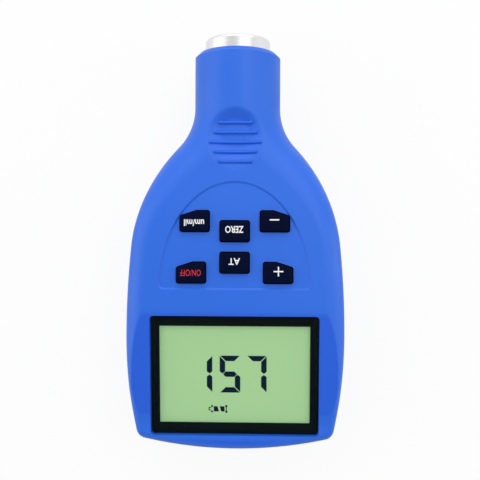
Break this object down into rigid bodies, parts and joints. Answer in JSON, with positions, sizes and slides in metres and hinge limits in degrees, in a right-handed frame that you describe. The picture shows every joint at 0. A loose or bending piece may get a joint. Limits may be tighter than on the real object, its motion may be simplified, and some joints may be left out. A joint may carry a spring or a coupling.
{
  "type": "coating thickness gauge",
  "caption": "Hand-held coating thickness gauge: waisted case with a sprung probe in its neck, sprung keys, tilted display and a sliding battery door.",
  "frame": {"origin": "middle of the case's back, on the surface it lies on", "axes": "+Y along the case towards the probe, +Z out of the face, +X to the right seen on the face"},
  "size_m": [0.0644, 0.1226, 0.0281],
  "materials": {
    "case_plastic": "satin moulded plastic",
    "window_clear": "clear acrylic",
    "mask_black": "gloss black",
    "lcd_green": "pale green display",
    "frame_black": "matt black",
    "light_guide": "milky white",
    "strip_rubber": "elastomer",
    "board_green": "solder mask",
    "socket_ivory": "ivory",
    "mat_rubber": "grey silicone",
    "key_rubber": "dark navy silicone",
    "plated_metal": "bright plating",
    "core_iron": "soft iron",
    "coil_wire": "enamelled wire",
    "tip_steel": "polished hard metal",
    "spring_steel": "spring wire",
    "cell_wrap": "plain wrapped cell",
    "screw_steel": "zinc plated"
  },
  "bodies": {
    "body": {"front_shell": "case_plastic", "rear_shell": "case_plastic", "display_window": "window_clear", "window_mask": "mask_black", "lcd_panel": "lcd_green", "lcd_frame": "frame_black", "probe_guide": "frame_black", "buzzer": "frame_black", "main_chip": "frame_black", "backlight": "light_guide", "lcd_connector": "strip_rubber", "main_board": "board_green", "probe_socket": "socket_ivory", "keypad_mat": "mat_rubber", "probe_spring": "spring_steel", "battery_springs": "spring_steel", "battery_contacts": "spring_steel", "battery_left": "cell_wrap", "battery_right": "cell_wrap", "case_screws": "screw_steel", "board_screws": "screw_steel"},
    "key_unit": {"key_unit": "key_rubber"},
    "key_zero": {"key_zero": "key_rubber"},
    "key_minus": {"key_minus": "key_rubber"},
    "key_power": {"key_power": "key_rubber"},
    "key_test": {"key_test": "key_rubber"},
    "key_plus": {"key_plus": "key_rubber"},
    "probe": {"probe_sleeve": "plated_metal", "probe_insert": "frame_black", "probe_core": "core_iron", "probe_coil": "coil_wire", "probe_tip": "tip_steel", "probe_clip": "spring_steel"},
    "battery_door": {"battery_door": "case_plastic"}
  },
  "joints": [
    {"name": "key_unit_press", "type": "slide", "parent": "body", "child": "key_unit", "axis": [0, 0, -1], "range_m": [0, 0.0008], "stiffness_N_per_m": 1500, "springref_m": -0.0003},
    {"name": "key_zero_press", "type": "slide", "parent": "body", "child": "key_zero", "axis": [0, 0, -1], "range_m": [0, 0.0008], "stiffness_N_per_m": 1500, "springref_m": -0.0003},
    {"name": "key_minus_press", "type": "slide", "parent": "body", "child": "key_minus", "axis": [0, 0, -1], "range_m": [0, 0.0008], "stiffness_N_per_m": 1500, "springref_m": -0.0003},
    {"name": "key_power_press", "type": "slide", "parent": "body", "child": "key_power", "axis": [0, 0, -1], "range_m": [0, 0.0008], "stiffness_N_per_m": 1500, "springref_m": -0.0003},
    {"name": "key_test_press", "type": "slide", "parent": "body", "child": "key_test", "axis": [0, 0, -1], "range_m": [0, 0.0008], "stiffness_N_per_m": 1500, "springref_m": -0.0003},
    {"name": "key_plus_press", "type": "slide", "parent": "body", "child": "key_plus", "axis": [0, 0, -1], "range_m": [0, 0.0008], "stiffness_N_per_m": 1500, "springref_m": -0.0003},
    {"name": "probe_slide", "type": "slide", "parent": "body", "child": "probe", "axis": [0, -1, 0], "range_m": [0, 0.0025], "stiffness_N_per_m": 800, "springref_m": -0.002, "deforming": ["probe_spring"]},
    {"name": "door_slide", "type": "slide", "parent": "body", "child": "battery_door", "axis": [0, -1, 0], "range_m": [0, 0.02]}
  ]
}
